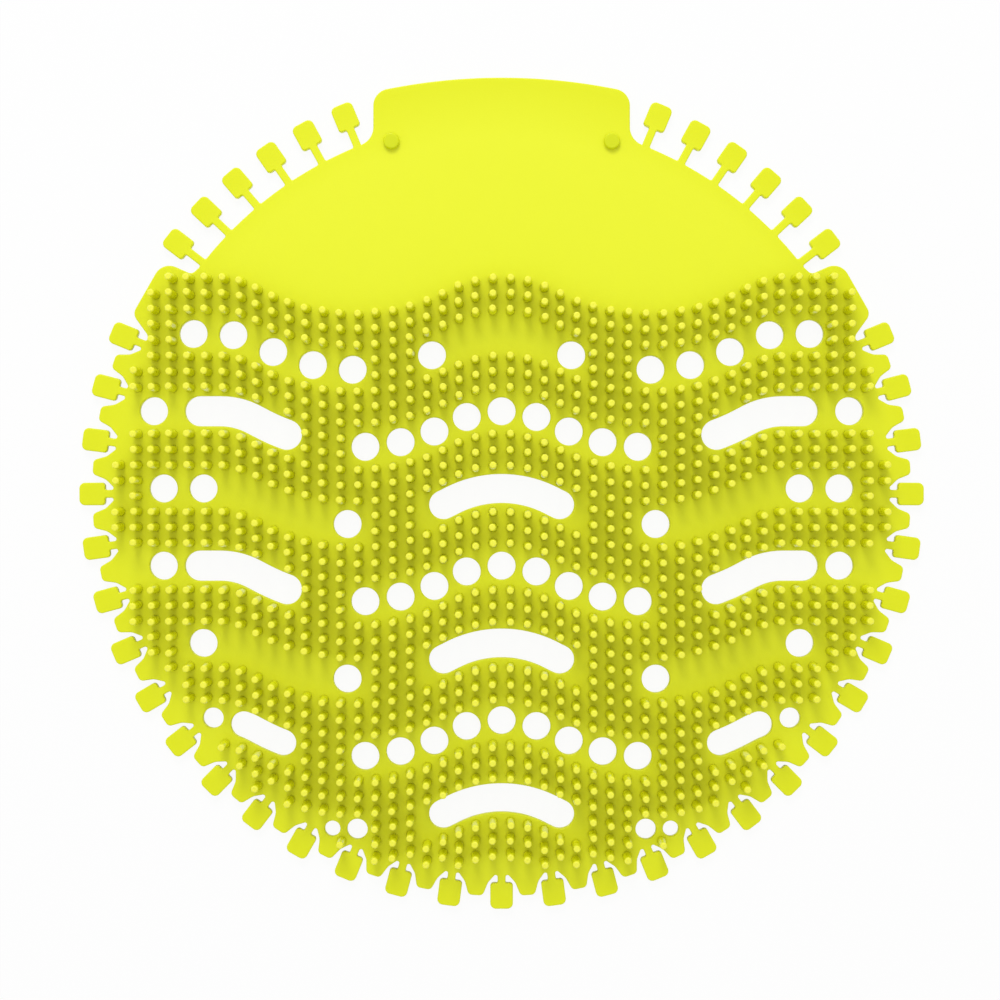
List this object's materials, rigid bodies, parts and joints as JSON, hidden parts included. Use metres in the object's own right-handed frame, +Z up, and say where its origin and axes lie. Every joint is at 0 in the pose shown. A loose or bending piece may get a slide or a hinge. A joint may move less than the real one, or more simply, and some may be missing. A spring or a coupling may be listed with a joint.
{
  "type": "urinal deodorizer screen",
  "caption": "Flat flexible mat with bristles, drain holes and slots, a lifting flap and a fringe of tear-off date tabs; it lies over a urinal's outlet.",
  "frame": {"origin": "centre of the underside's bounding rectangle, on the surface that the mat lies on", "axes": "+X across the mat, +Y towards the lifting flap, +Z up through the bristles"},
  "size_m": [0.19, 0.187, 0.009],
  "materials": {
    "lime_rubber": "satin moulded soft plastic, lime yellow, slightly translucent"
  },
  "bodies": {
    "root": {"deodorizer_mat": "lime_rubber"}
  },
  "joints": []
}
